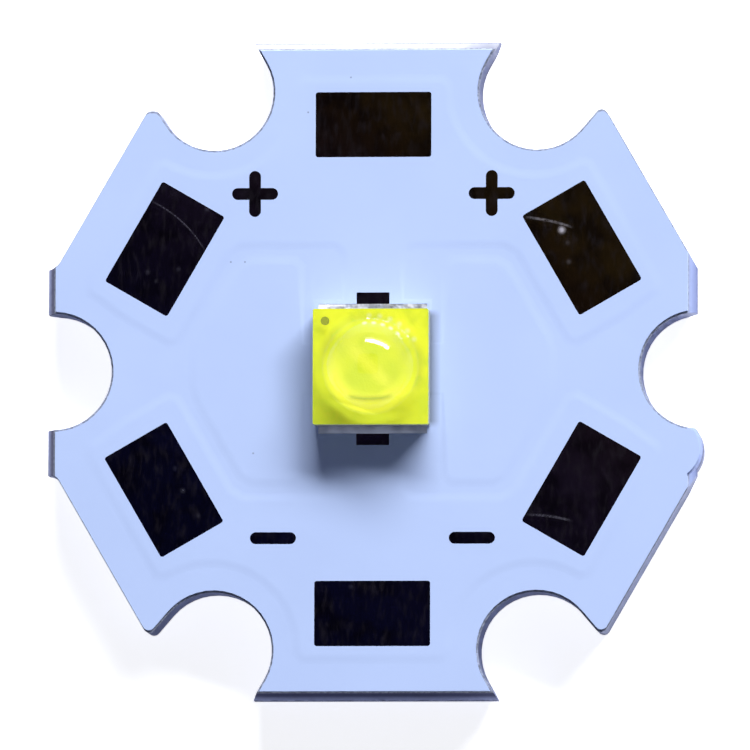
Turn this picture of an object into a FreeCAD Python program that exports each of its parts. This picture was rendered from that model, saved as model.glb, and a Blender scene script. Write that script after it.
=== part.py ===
import FreeCAD, Part
import math
import os
from collections import namedtuple

# Star-shaped metal core board with one domed power LED soldered at its centre.
# Millimetres. Z is up and the board's underside lies on z = 0. X runs to the right and Y to the side
# that carries the plus signs. The origin is midway between the four scored sides.

# Board outline: a hexagon cut short on its left and right, with a round notch at each corner
ACROSS_FLATS = 20.0
BOARD_WIDTH = 19.72
NOTCH_INSET = 0.2
NOTCH_RADIUS = 1.77
TIP_RADIUS = 0.2
# The router ran a little to the right of the scored lines, and the copper artwork lies a little left of it
ROUT_SHIFT = (0.14, -0.02)
PRINT_SHIFT = (0.06, 0.04)

# Each notch: its direction, how far its mouth opens out next to a slanted side, on which hand that side
# lies, and how much of the sharp tip between them broke off
Notch = namedtuple("Notch", "angle flare hand tip_loss")
NOTCHES = (
    Notch(0, 0.0, 1, 0.0),
    Notch(60, 10.6, -1, 0.0),
    Notch(120, 3.0, 1, 0.26),
    Notch(180, 0.0, 1, 0.0),
    Notch(240, 10.6, -1, 0.0),
    Notch(300, 10.6, 1, 0.0),
)
# What the cutter and the breaking out of the panel left on this board
FOOT_RADIUS = 0.45
LOBE_RADIUS = 1.0
LOBE_OVERHANG = 0.19
LOBE_BELOW_MIDDLE = 2.4

# Layers of the board
PLATE_THICKNESS = 1.5
DIELECTRIC_THICKNESS = 0.08
COPPER_THICKNESS = 0.035
MASK_THICKNESS = 0.03
TIN_THICKNESS = 0.015
MASK_SETBACK = 0.02
MASK_NOTCH_SETBACK = 0.06

# V-grooves along the four scored sides, cut from both faces, with a thin web that was snapped
SCORE_WIDTH = 0.26
SCORE_DEPTH = 0.5

# Six wire pads: their long sides follow the board's sides
PAD_TO_EDGE = 1.58
SLANT_PAD_LENGTH = 3.5
SLANT_PAD_WIDTH = 2.19
SCORED_PAD_LENGTH = 3.52
SCORED_PAD_WIDTH = 1.98
PAD_CORNER = 0.08

# Copper pours under the mask
POUR_PAST_PAD_END = 0.7
POUR_PAST_PAD_OUTSIDE = 0.43
POUR_PAST_PAD_INSIDE = 0.69
POUR_TO_NOTCH = 0.8
POSITIVE_REACH = 2.7
NEGATIVE_REACH = 2.56
POUR_GAP = 0.39
POUR_MITRE = 0.25
SHARP_WITHIN = 3.0
TONGUE_WIDTH = 1.8
SPREADER_SIDE_LENGTH = 1.55

# Polarity marks: mask openings with round ended strokes. Each lies so far out and so far in from the
# point where the inner edges of the two wire pads beside it would meet
MARK_STROKE = 0.36
MARK_LENGTH = 1.4
PLUS_OUT = 0.124
PLUS_IN = 1.11
MINUS_OUT = -0.456
MINUS_IN = 1.3

# LED package and the lands that it is soldered to
PACKAGE_SIDE = 3.5
LED_PAD_LENGTH = 3.3
LED_ELECTRODE_WIDTH = 0.5
LED_THERMAL_WIDTH = 1.3
LED_PAD_SPACE = 0.4
LED_PAD_THICKNESS = 0.03
SOLDER_THICKNESS = 0.05
LAND_TOE = 0.42
LAND_MARGIN = 0.1
TEST_END_WIDTH = 1.0
TEST_END_LENGTH = 0.35
FILLET_EDGE_HEIGHT = 0.018
FILLET_RISE = 0.02
FILLET_BULGE = 0.01

CERAMIC_THICKNESS = 0.63
CERAMIC_CORNER = 0.05
TRACE_THICKNESS = 0.03
TRACE_LENGTH = 2.3
TRACE_SPACE = 0.12
DIE_SIDE = 1.45
DIE_THICKNESS = 0.15
DIODE_WIDTH = 0.3
DIODE_THICKNESS = 0.1
DIODE_FROM_DIE = 0.1
PHOSPHOR_THICKNESS = 0.06
PHOSPHOR_SLOPE = 0.12
FLANGE_THICKNESS = 0.27
DOME_DIAMETER = 2.85
DOME_HEIGHT = 1.2
DOME_FOOT_FILLET = 0.08
DOT_DIAMETER = 0.27
DOT_THICKNESS = 0.01
DOT_FROM_CENTRE = 1.38

# Heights that follow from the layers
DIELECTRIC_TOP = PLATE_THICKNESS + DIELECTRIC_THICKNESS
COPPER_TOP = DIELECTRIC_TOP + COPPER_THICKNESS
BOARD_TOP = COPPER_TOP + MASK_THICKNESS
SCORED_TOP = DIELECTRIC_TOP + MASK_THICKNESS
LED_PAD_BOTTOM = COPPER_TOP + SOLDER_THICKNESS
CERAMIC_BOTTOM = LED_PAD_BOTTOM + LED_PAD_THICKNESS
CERAMIC_TOP = CERAMIC_BOTTOM + CERAMIC_THICKNESS
TRACE_TOP = CERAMIC_TOP + TRACE_THICKNESS
DIE_TOP = TRACE_TOP + DIE_THICKNESS
FLANGE_TOP = CERAMIC_TOP + FLANGE_THICKNESS

# Places that follow from the sizes
HALF_FLATS = ACROSS_FLATS / 2
HALF_SIDES = BOARD_WIDTH / 2
NOTCH_REACH = HALF_FLATS - NOTCH_INSET
PAD_OUTSIDE = HALF_FLATS - PAD_TO_EDGE
ELECTRODE_INSIDE = LED_THERMAL_WIDTH / 2 + LED_PAD_SPACE
ELECTRODE_OUTSIDE = ELECTRODE_INSIDE + LED_ELECTRODE_WIDTH
LAND_OUTSIDE = ELECTRODE_OUTSIDE + LAND_TOE
TEST_END_OUTSIDE = LAND_OUTSIDE + TEST_END_LENGTH

WIRE_PADS = {
    "wire_pad_upper_right": 30,
    "wire_pad_top": 90,
    "wire_pad_upper_left": 150,
    "wire_pad_lower_left": 210,
    "wire_pad_bottom": 270,
    "wire_pad_lower_right": 330,
}
UP = FreeCAD.Vector(0, 0, 1)

# How far a cutting block runs on past what it cuts, or a joining one into what it joins
PAST = 1.0

# Places nearer than this are the same, and an edge this near to a place is the one that was meant
SAME = 1e-6
NEAR = 0.05


def prism(points, bottom, height):
    """A straight-sided upright block on the polygon through the points."""
    corners = [FreeCAD.Vector(x, y, bottom) for x, y in points]
    face = Part.Face(Part.makePolygon(corners + corners[:1]))
    return face.extrude(UP * height)


def block(x_low, x_high, y_low, y_high, bottom, height):
    """An upright block between two x and two y places."""
    corner = FreeCAD.Vector(x_low, y_low, bottom)
    return Part.makeBox(x_high - x_low, y_high - y_low, height, corner)


def column(x, y, radius, bottom, height):
    """An upright round column."""
    return Part.makeCylinder(radius, height, FreeCAD.Vector(x, y, bottom))


def turned(shape, angle):
    """A copy turned about the vertical axis through the origin."""
    copy = shape.copy()
    copy.rotate(FreeCAD.Vector(0, 0, 0), UP, angle)
    return copy


def moved(shape, x, y):
    """A copy moved level."""
    copy = shape.copy()
    copy.translate(FreeCAD.Vector(x, y, 0))
    return copy


def joined(shapes):
    """One solid from shapes that meet, without the seams between them."""
    whole = shapes[0]
    for shape in shapes[1:]:
        whole = whole.fuse(shape)
    return whole.removeSplitter()


def upright_edges(shape, wanted=None):
    """The vertical edges, or only those at the wanted places."""
    found = []
    for edge in shape.Edges:
        ends = [vertex.Point for vertex in edge.Vertexes]
        if len(ends) != 2:
            continue
        run = ends[1] - ends[0]
        if abs(run.z) < SAME or math.hypot(run.x, run.y) > SAME:
            continue
        if wanted is None or any(math.hypot(ends[0].x - x, ends[0].y - y) < NEAR for x, y in wanted):
            found.append(edge)
    return found


def side_normal(angle):
    """The outward direction of the side that faces the given angle."""
    return math.cos(math.radians(angle)), math.sin(math.radians(angle))


def notch_cutter(notch, radius, bottom, height):
    """What one notch takes away: a round end and a mouth, one side of which may open outwards."""
    opening = math.radians(notch.flare)
    hand = notch.hand
    reach = ACROSS_FLATS
    flared_start = (-radius * math.sin(opening), hand * radius * math.cos(opening))
    flared_end = (
        flared_start[0] + reach * math.cos(opening),
        flared_start[1] + hand * reach * math.sin(opening),
    )
    mouth = prism([(0, -hand * radius), (reach, -hand * radius), flared_end, flared_start], bottom, height)
    cutter = mouth.fuse(column(0, 0, radius, bottom, height))
    return turned(moved(cutter, NOTCH_REACH, 0), notch.angle)


def notch_tip(notch, radius, half_flats):
    """Where a notch's flared mouth would meet the slanted side beside it in a sharp point."""
    x, y = side_normal(notch.angle)
    across = (-y * notch.hand, x * notch.hand)
    opening = math.radians(notch.flare)
    start_out = NOTCH_REACH - radius * math.sin(opening)
    start_over = radius * math.cos(opening)
    facing = side_normal(notch.angle + 30 * notch.hand)
    start = (x * start_out + across[0] * start_over, y * start_out + across[1] * start_over)
    run = (
        x * math.cos(opening) + across[0] * math.sin(opening),
        y * math.cos(opening) + across[1] * math.sin(opening),
    )
    short_by = half_flats - facing[0] * start[0] - facing[1] * start[1]
    share = short_by / (facing[0] * run[0] + facing[1] * run[1])
    return start[0] + run[0] * share, start[1] + run[1] * share


def slanted_blank(half_flats, bottom, height):
    """The four slanted sides alone: a six-sided prism that runs on past the scored top and bottom."""
    out_x, out_y = side_normal(30)
    far = half_flats + PAST
    far_x = (half_flats - out_y * far) / out_x
    corner = half_flats / out_x
    outline = [(far_x, far), (corner, 0), (far_x, -far), (-far_x, -far), (-corner, 0), (-far_x, far)]
    return prism(outline, bottom, height)


def is_tip(point, x, level, loss):
    """Whether a corner belongs to the tip at a place: a sharp one, or both corners of one broken level."""
    return abs(point.y - level) < NEAR and abs(point.x - x) < NEAR + 2 * loss


def left_foot(up, half_flats, bottom, height):
    """The small foot that the round cutter left where a slanted side runs into the left scored side."""
    out_x, out_y = side_normal(30)
    side = HALF_SIDES + ROUT_SHIFT[0]
    centre_y = (half_flats + FOOT_RADIUS - out_x * side) / out_y
    touch = (side - out_x * FOOT_RADIUS, centre_y - out_y * FOOT_RADIUS)
    spare = FOOT_RADIUS / 2
    root_y = (half_flats - out_x * (side + spare)) / out_y
    outline = [touch, (side, centre_y), (side + spare, centre_y), (side + spare, root_y)]
    foot = prism([(-x, up * y) for x, y in outline], bottom, height)
    return foot.cut(column(-side, up * centre_y, FOOT_RADIUS, bottom, height))


def routed_profile(bottom, height, setback, notch_setback):
    """The routed outline between two heights, drawn in by the setbacks, before the sides are scored."""
    half_flats = HALF_FLATS - setback
    radius = NOTCH_RADIUS + notch_setback
    shape = slanted_blank(half_flats, bottom, height)
    for up in (1, -1):
        shape = shape.fuse(left_foot(up, half_flats, bottom, height))
    for notch in NOTCHES:
        shape = shape.cut(notch_cutter(notch, radius, bottom, height))
    rounded_edges = []
    for notch in NOTCHES:
        if notch.flare == 0:
            continue
        x, y = notch_tip(notch, radius, half_flats)
        level = y - notch.tip_loss
        if notch.tip_loss:
            shape = shape.cut(block(x - PAST, x + PAST, level, y + PAST, bottom, height)).removeSplitter()
        rounded_edges.append((x, level, notch.tip_loss))
    tips = [
        edge
        for edge in upright_edges(shape)
        if any(is_tip(edge.Vertexes[0].Point, *place) for place in rounded_edges)
    ]
    return moved(shape.makeFillet(TIP_RADIUS, tips), *ROUT_SHIFT)


def scored_bar(half_width, height):
    """A long bar along X whose two sides carry the grooves of a scored panel above and below the web."""
    slope = SCORE_WIDTH / SCORE_DEPTH
    web_top = SCORED_TOP - SCORE_DEPTH
    far_in = half_width - slope * (height - web_top)
    section = [
        (-half_width + SCORE_WIDTH, 0),
        (half_width - SCORE_WIDTH, 0),
        (half_width, SCORE_DEPTH),
        (half_width, web_top),
        (far_in, height),
        (-far_in, height),
        (-half_width, web_top),
        (-half_width, SCORE_DEPTH),
    ]
    reach = ACROSS_FLATS
    corners = [FreeCAD.Vector(-reach, y, z) for y, z in section]
    face = Part.Face(Part.makePolygon(corners + corners[:1]))
    return face.extrude(FreeCAD.Vector(2 * reach, 0, 0))


def broken_lobe(bottom, height, setback):
    """The rounded lump at the lower right, where the panel broke beside its groove."""
    radius = LOBE_RADIUS - setback
    centre_x = HALF_SIDES + LOBE_OVERHANG - LOBE_RADIUS
    lobe = column(centre_x, -LOBE_BELOW_MIDDLE, radius, bottom, height)
    cutter = notch_cutter(NOTCHES[0], NOTCH_RADIUS + setback, bottom, height)
    return lobe.cut(moved(cutter, *ROUT_SHIFT))


def board_layer(bottom, top, setback=0.0, notch_setback=0.0):
    """The star outline between two heights, with its notches, scored sides and broken edges."""
    thickness = top - bottom
    layer = routed_profile(bottom, thickness, setback, notch_setback)
    layer = layer.common(scored_bar(HALF_FLATS, BOARD_TOP))
    layer = layer.common(turned(scored_bar(HALF_SIDES, BOARD_TOP), 90))
    return joined([layer, broken_lobe(bottom, thickness, notch_setback)])


def pad_size(angle):
    """Length and width of the wire pad on the side that faces the angle."""
    if angle % 180 == 90:
        return SCORED_PAD_LENGTH, SCORED_PAD_WIDTH
    return SLANT_PAD_LENGTH, SLANT_PAD_WIDTH


def wire_pad(angle, bottom, height):
    """One wire pad with slightly round corners, its outer edge parallel to the board's side."""
    length, width = pad_size(angle)
    pad = block(PAD_OUTSIDE - width, PAD_OUTSIDE, -length / 2, length / 2, bottom, height)
    pad = pad.makeFillet(PAD_CORNER, upright_edges(pad))
    return moved(turned(pad, angle), *PRINT_SHIFT)


def stroke(length, angle, x, y, bottom, height):
    """A round ended stroke centred on a place."""
    radius = MARK_STROKE / 2
    half = length / 2 - radius
    bar = block(-half, half, -radius, radius, bottom, height)
    bar = joined([bar, column(-half, 0, radius, bottom, height), column(half, 0, radius, bottom, height)])
    return moved(turned(bar, angle), x + PRINT_SHIFT[0], y + PRINT_SHIFT[1])


def scored_pad_inside():
    """How far the inner edges of the top and bottom wire pads lie from the middle."""
    return PAD_OUTSIDE - SCORED_PAD_WIDTH


def mark_place(out, inward):
    """Where a mark lies, from the point where the inner edges of the pads on its two sides would meet."""
    normal_x, normal_y = side_normal(30)
    slanted_inside = PAD_OUTSIDE - SLANT_PAD_WIDTH
    meeting_x = (slanted_inside - normal_y * scored_pad_inside()) / normal_x
    return meeting_x + out, scored_pad_inside() - inward


def plus_mark(side, bottom, height):
    """A plus sign left or right below the top pad."""
    x, y = mark_place(PLUS_OUT, PLUS_IN)
    level = stroke(MARK_LENGTH, 0, side * x, y, bottom, height)
    return joined([level, stroke(MARK_LENGTH, 90, side * x, y, bottom, height)])


def minus_mark(side, bottom, height):
    """A minus sign left or right above the bottom pad."""
    x, y = mark_place(MINUS_OUT, MINUS_IN)
    return stroke(MARK_LENGTH, 0, side * x, -y, bottom, height)


def test_end(up, bottom, height):
    """The narrow end of an LED land that stays bare beyond the solder, for a test probe."""
    y_ends = sorted((up * LAND_OUTSIDE, up * TEST_END_OUTSIDE))
    end = block(-TEST_END_WIDTH / 2, TEST_END_WIDTH / 2, y_ends[0], y_ends[1], bottom, height)
    return moved(end, *PRINT_SHIFT)


def electrode_land(up, bottom, height):
    """The land under one electrode of the LED, out to its toe."""
    y_ends = sorted((up * ELECTRODE_INSIDE, up * LAND_OUTSIDE))
    land = block(-LED_PAD_LENGTH / 2, LED_PAD_LENGTH / 2, y_ends[0], y_ends[1], bottom, height)
    return moved(land, *PRINT_SHIFT)


def thermal_land(bottom, height):
    """The land under the LED's middle pad."""
    half = LED_THERMAL_WIDTH / 2
    land = block(-LED_PAD_LENGTH / 2, LED_PAD_LENGTH / 2, -half, half, bottom, height)
    return moved(land, *PRINT_SHIFT)


def pour_edges(reach, grow):
    """Distance of a power pour's inner edge from the middle: at its centre and beside the slanted pads."""
    centre_edge = scored_pad_inside() - reach - grow
    slanted_edge = PAD_OUTSIDE - SLANT_PAD_WIDTH - POUR_PAST_PAD_INSIDE - grow
    return centre_edge, slanted_edge


def power_pour(up, reach, grow=0.0, height=COPPER_THICKNESS):
    """The copper that joins the three wire pads of one polarity and runs in to one end of the LED."""
    centre_edge, slanted_edge = pour_edges(reach, grow)
    outside = PAD_OUTSIDE + POUR_PAST_PAD_OUTSIDE + grow
    half_slant = SLANT_PAD_LENGTH / 2 + POUR_PAST_PAD_END + grow
    half_top = SCORED_PAD_LENGTH / 2 + POUR_PAST_PAD_END + grow
    bottom = DIELECTRIC_TOP
    out_x, out_y = side_normal(30)
    arm = block(slanted_edge, outside, -half_slant, half_slant, bottom, height)
    meeting_x = (slanted_edge - out_y * centre_edge) / out_x
    shoulder = (outside * out_x - half_slant * out_y, outside * out_y + half_slant * out_x)
    body = [
        (-meeting_x, centre_edge),
        (meeting_x, centre_edge),
        shoulder,
        (half_top, outside),
        (-half_top, outside),
        (-shoulder[0], shoulder[1]),
    ]
    pour = joined([prism(body, bottom, height), turned(arm, 30), turned(arm, 150)])
    around_notch = column(NOTCH_REACH, 0, NOTCH_RADIUS + POUR_TO_NOTCH - grow, bottom, height)
    for angle in (0, 60, 120, 180):
        pour = pour.cut(turned(around_notch, angle))
    tongue = TONGUE_WIDTH / 2 + grow
    land = LED_PAD_LENGTH / 2 + LAND_MARGIN + grow
    land_low = ELECTRODE_INSIDE - LAND_MARGIN - grow
    land_high = LAND_OUTSIDE + LAND_MARGIN + grow
    pour = joined(
        [
            pour,
            block(-tongue, tongue, land_low, centre_edge + PAST, bottom, height),
            block(-land, land, land_low, land_high, bottom, height),
        ]
    )
    if up < 0:
        pour = turned(pour, 180)
    return moved(pour, *PRINT_SHIFT)


def heat_spreader(grow=0.0, height=COPPER_THICKNESS):
    """The middle copper: two islands beside the LED, joined under its thermal pad."""
    top_edge, slanted_edge = pour_edges(POSITIVE_REACH, 0.0)
    bottom_edge, slanted_edge = pour_edges(NEGATIVE_REACH, 0.0)
    top = top_edge - POUR_GAP + grow
    low = bottom_edge - POUR_GAP + grow
    slant = slanted_edge - POUR_GAP + grow
    out_x, out_y = side_normal(30)
    side = (slant - grow - out_y * SPREADER_SIDE_LENGTH / 2) / out_x + grow
    corner_y = (slant - out_x * side) / out_y
    outline = [
        ((slant - out_y * top) / out_x, top),
        (side, corner_y),
        (side, -corner_y),
        ((slant - out_y * low) / out_x, -low),
    ]
    outline += [(-x, y) for x, y in reversed(outline)]
    bottom = DIELECTRIC_TOP
    copper = prism(outline, bottom, height)
    half_slot = LED_PAD_LENGTH / 2 + LAND_MARGIN + POUR_GAP - grow
    slot_start = LED_THERMAL_WIDTH / 2 + LAND_MARGIN + grow
    copper = copper.cut(block(-half_slot, half_slot, slot_start, top + PAST, bottom, height))
    copper = copper.cut(block(-half_slot, half_slot, -low - PAST, -slot_start, bottom, height))
    return moved(copper, *PRINT_SHIFT)


def mitred(copper):
    """A pour with its corners cut off at an angle, apart from those of the small lands under the LED."""
    outer = [
        edge
        for edge in upright_edges(copper)
        if math.hypot(edge.Vertexes[0].Point.x, edge.Vertexes[0].Point.y) > SHARP_WITHIN
    ]
    return copper.makeChamfer(POUR_MITRE, outer)


def copper_layers():
    """The three pours by name."""
    return {
        "copper_positive": power_pour(1, POSITIVE_REACH),
        "copper_negative": power_pour(-1, NEGATIVE_REACH),
        "copper_thermal": heat_spreader(),
    }


def mask_openings(bottom, height):
    """Every place where the mask leaves the copper bare."""
    openings = [wire_pad(angle, bottom, height) for angle in WIRE_PADS.values()]
    openings += [plus_mark(side, bottom, height) for side in (-1, 1)]
    openings += [minus_mark(side, bottom, height) for side in (-1, 1)]
    for up in (1, -1):
        openings.append(test_end(up, bottom, height))
        openings.append(electrode_land(up, bottom, height))
    openings.append(thermal_land(bottom, height))
    return openings


def solder_mask(copper):
    """One film of mask: it lies on the dielectric and steps up over the edges of the copper."""
    mask = board_layer(DIELECTRIC_TOP, SCORED_TOP, MASK_SETBACK, MASK_NOTCH_SETBACK)
    height = COPPER_THICKNESS + MASK_THICKNESS
    for skin in (
        power_pour(1, POSITIVE_REACH, MASK_THICKNESS, height),
        power_pour(-1, NEGATIVE_REACH, MASK_THICKNESS, height),
        heat_spreader(MASK_THICKNESS, height),
    ):
        mask = mask.fuse(mitred(skin))
    for piece in copper.values():
        mask = mask.cut(piece)
    for opening in mask_openings(DIELECTRIC_TOP, 2 * height):
        mask = mask.cut(opening)
    return mask.removeSplitter()


def tin_pieces():
    """The tin finish in every opening that has no solder on it."""
    at = (COPPER_TOP, TIN_THICKNESS)
    pieces = {name: wire_pad(angle, *at) for name, angle in WIRE_PADS.items()}
    pieces["plus_mark_left"] = plus_mark(-1, *at)
    pieces["plus_mark_right"] = plus_mark(1, *at)
    pieces["minus_mark_left"] = minus_mark(-1, *at)
    pieces["minus_mark_right"] = minus_mark(1, *at)
    pieces["test_pad_anode"] = test_end(1, *at)
    pieces["test_pad_cathode"] = test_end(-1, *at)
    return pieces


def solder_joint(up):
    """The solder under one electrode, with a rounded fillet that runs out over the toe of its land."""
    rise = SOLDER_THICKNESS + FILLET_RISE
    toe = FreeCAD.Vector(0, LAND_OUTSIDE, COPPER_TOP + FILLET_EDGE_HEIGHT)
    crest = FreeCAD.Vector(0, ELECTRODE_OUTSIDE, COPPER_TOP + rise)
    bulge = (toe + crest) * 0.5 + FreeCAD.Vector(0, FILLET_BULGE, FILLET_BULGE)
    points = [
        FreeCAD.Vector(0, ELECTRODE_OUTSIDE, LED_PAD_BOTTOM),
        FreeCAD.Vector(0, ELECTRODE_INSIDE, LED_PAD_BOTTOM),
        FreeCAD.Vector(0, ELECTRODE_INSIDE, COPPER_TOP),
        FreeCAD.Vector(0, LAND_OUTSIDE, COPPER_TOP),
        toe,
    ]
    edges = [Part.LineSegment(a, b).toShape() for a, b in zip(points, points[1:])]
    edges.append(Part.Arc(toe, bulge, crest).toShape())
    edges.append(Part.LineSegment(crest, points[0]).toShape())
    section = Part.Face(Part.Wire(edges))
    section.translate(FreeCAD.Vector(-LED_PAD_LENGTH / 2, 0, 0))
    joint = section.extrude(FreeCAD.Vector(LED_PAD_LENGTH, 0, 0))
    if up < 0:
        joint = turned(joint, 180)
    return moved(joint, *PRINT_SHIFT)


def led_pads():
    """The three pads under the ceramic."""
    half = LED_PAD_LENGTH / 2
    at = (LED_PAD_BOTTOM, LED_PAD_THICKNESS)
    pads = {
        "led_anode_pad": block(-half, half, ELECTRODE_INSIDE, ELECTRODE_OUTSIDE, *at),
        "led_cathode_pad": block(-half, half, -ELECTRODE_OUTSIDE, -ELECTRODE_INSIDE, *at),
        "led_thermal_pad": block(-half, half, -LED_THERMAL_WIDTH / 2, LED_THERMAL_WIDTH / 2, *at),
    }
    return {name: moved(pad, *PRINT_SHIFT) for name, pad in pads.items()}


def square_block(side, bottom, height):
    """A square block centred on the LED."""
    half = side / 2
    return moved(block(-half, half, -half, half, bottom, height), *PRINT_SHIFT)


def ceramic():
    """The white ceramic substrate with slightly eased upright edges."""
    body = square_block(PACKAGE_SIDE, CERAMIC_BOTTOM, CERAMIC_THICKNESS)
    return body.makeFillet(CERAMIC_CORNER, upright_edges(body))


def die_traces():
    """The two metal areas on the ceramic that the die bridges."""
    half = TRACE_LENGTH / 2
    inner = TRACE_SPACE / 2
    at = (CERAMIC_TOP, TRACE_THICKNESS)
    return {
        "anode_trace": moved(block(-half, half, inner, half, *at), *PRINT_SHIFT),
        "cathode_trace": moved(block(-half, half, -half, -inner, *at), *PRINT_SHIFT),
    }


def diode_centre():
    """The protection diode's place: below the die, in line with its left edge."""
    return -(DIE_SIDE - DIODE_WIDTH) / 2, -(DIE_SIDE + DIODE_WIDTH) / 2 - DIODE_FROM_DIE


def protection_diode():
    """The small diode that shares the traces with the die."""
    x, y = diode_centre()
    return moved(square_block(DIODE_WIDTH, TRACE_TOP, DIODE_THICKNESS), x, y)


def sloped_cover(side, bottom, top):
    """A square cover of phosphor over a chip, with sides that lean in towards its top."""
    half = side / 2 + PHOSPHOR_THICKNESS
    wires = []
    for reach, z in ((half + PHOSPHOR_SLOPE, bottom), (half, top + PHOSPHOR_THICKNESS)):
        corners = [
            FreeCAD.Vector(sx * reach, sy * reach, z) for sx, sy in ((-1, -1), (1, -1), (1, 1), (-1, 1))
        ]
        wires.append(Part.makePolygon(corners + corners[:1]))
    return moved(Part.makeLoft(wires, True, True), *PRINT_SHIFT)


def phosphor_body():
    """The phosphor film: flat on the ceramic, raised over the die and its diode."""
    low = TRACE_TOP + PHOSPHOR_THICKNESS
    film = square_block(PACKAGE_SIDE, CERAMIC_TOP, low - CERAMIC_TOP)
    film = film.makeFillet(CERAMIC_CORNER, upright_edges(film))
    over_die = sloped_cover(DIE_SIDE, low, DIE_TOP)
    over_diode = moved(sloped_cover(DIODE_WIDTH, low, TRACE_TOP + DIODE_THICKNESS), *diode_centre())
    return joined([film, over_die, over_diode])


def silicone_lens(phosphor):
    """The clear lens: a flange as wide as the package and a dome with a small fillet at its foot."""
    radius = DOME_DIAMETER / 2
    ball = (radius**2 + DOME_HEIGHT**2) / (2 * DOME_HEIGHT)
    centre_z = FLANGE_TOP + DOME_HEIGHT - ball
    flange = square_block(PACKAGE_SIDE, CERAMIC_TOP, FLANGE_THICKNESS)
    flange = flange.makeFillet(CERAMIC_CORNER, upright_edges(flange))
    dome = Part.makeSphere(ball, FreeCAD.Vector(PRINT_SHIFT[0], PRINT_SHIFT[1], centre_z))
    room = square_block(2 * (ball + PAST), CERAMIC_TOP, FLANGE_THICKNESS + DOME_HEIGHT + PAST)
    dome = dome.common(room)
    lens = joined([flange, dome])
    foot = [
        edge
        for edge in lens.Edges
        if abs(edge.BoundBox.ZMin - FLANGE_TOP) < SAME
        and abs(edge.BoundBox.ZMax - FLANGE_TOP) < SAME
        and isinstance(edge.Curve, Part.Circle)
        and abs(edge.Curve.Radius - radius) < SAME
    ]
    lens = lens.makeFillet(DOME_FOOT_FILLET, foot)
    return lens.cut(phosphor)


def polarity_dot():
    """The small printed dot on the flange's corner."""
    dot = column(-DOT_FROM_CENTRE, DOT_FROM_CENTRE, DOT_DIAMETER / 2, FLANGE_TOP, DOT_THICKNESS)
    return moved(dot, *PRINT_SHIFT)


def led_pieces():
    """Everything above the lands, bottom up."""
    pieces = led_pads()
    pieces["ceramic_substrate"] = ceramic()
    pieces.update(die_traces())
    pieces["led_die"] = square_block(DIE_SIDE, TRACE_TOP, DIE_THICKNESS)
    pieces["protection_diode"] = protection_diode()
    inside = [pieces[name] for name in ("anode_trace", "cathode_trace", "led_die", "protection_diode")]
    phosphor = phosphor_body()
    pieces["silicone_lens"] = silicone_lens(phosphor)
    for piece in inside:
        phosphor = phosphor.cut(piece)
    pieces["phosphor_layer"] = phosphor
    pieces["polarity_dot"] = polarity_dot()
    return pieces


def board_pieces():
    """The laminate with its copper, mask, tin and solder."""
    copper = {name: mitred(pour) for name, pour in copper_layers().items()}
    pieces = {
        "base_plate": board_layer(0, PLATE_THICKNESS),
        "dielectric_layer": board_layer(PLATE_THICKNESS, DIELECTRIC_TOP),
    }
    pieces.update(copper)
    pieces["solder_mask"] = solder_mask(copper)
    pieces.update(tin_pieces())
    pieces["solder_anode"] = solder_joint(1)
    pieces["solder_cathode"] = solder_joint(-1)
    pieces["solder_thermal"] = thermal_land(COPPER_TOP, SOLDER_THICKNESS)
    return pieces


os.makedirs("parts", exist_ok=True)
for name, shape in {**board_pieces(), **led_pieces()}.items():
    solids = shape.Solids
    print(f"{name}: {len(solids)} solid, {len(shape.Faces)} faces, valid {shape.isValid()}")
    shape.exportStep(f"parts/{name}.step")
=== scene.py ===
"""Looks of a star-shaped metal core board with one domed white power LED.

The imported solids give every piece's size and place. This script dresses them, and makes again the three
pieces whose real form is softer than a solid model's: the mask, the phosphor film and the clear lens.
Lengths are metres unless a name ends in _mm.
"""

from __future__ import annotations

import logging
import math
from dataclasses import dataclass
from enum import Enum

import bmesh
import bpy
from mathutils import Matrix, Vector


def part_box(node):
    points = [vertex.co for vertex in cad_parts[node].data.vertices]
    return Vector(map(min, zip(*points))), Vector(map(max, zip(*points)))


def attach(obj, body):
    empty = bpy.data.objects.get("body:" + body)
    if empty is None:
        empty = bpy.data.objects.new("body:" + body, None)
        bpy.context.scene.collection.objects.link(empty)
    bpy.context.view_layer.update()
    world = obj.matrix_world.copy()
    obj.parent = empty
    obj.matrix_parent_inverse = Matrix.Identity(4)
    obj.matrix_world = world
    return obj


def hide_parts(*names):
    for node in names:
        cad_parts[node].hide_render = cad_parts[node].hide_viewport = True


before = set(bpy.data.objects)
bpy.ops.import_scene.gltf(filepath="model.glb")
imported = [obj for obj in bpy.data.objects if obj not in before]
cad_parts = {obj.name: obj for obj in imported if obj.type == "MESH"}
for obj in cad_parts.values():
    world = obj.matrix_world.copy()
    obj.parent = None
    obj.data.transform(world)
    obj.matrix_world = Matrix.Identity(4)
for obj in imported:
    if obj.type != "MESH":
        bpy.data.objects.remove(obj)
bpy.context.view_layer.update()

MM = 0.001
SAME = 1e-6
FLAT = math.radians(0.5)
SHARP_CREASE = math.radians(30)
# How far a face's normal points up when it counts as level, and how little when it counts as upright.
LEVEL = 0.9
UPRIGHT = 0.1
# The part of a noise's range that holds nearly all of it, and a narrower part for steeper patches.
NOISE = (0.3, 0.7)
STEEP_NOISE = (0.35, 0.65)

Output = bpy.types.NodeSocket
Number = Output | float
Tint = Output | str
Pair = tuple[float, float]
Triple = tuple[float, float, float]

log = logging.getLogger("star_led")


def linear(hex_colour: str) -> tuple[float, float, float, float]:
    """Turn an sRGB hex colour into linear light.

    Args:
        hex_colour: Six hex digits after a hash sign.

    Returns:
        Red, green, blue and a full alpha.
    """
    values = [int(hex_colour[i : i + 2], 16) / 255 for i in (1, 3, 5)]
    light = [v / 12.92 if v <= 0.04045 else ((v + 0.055) / 1.055) ** 2.4 for v in values]
    return (*light, 1.0)


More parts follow.
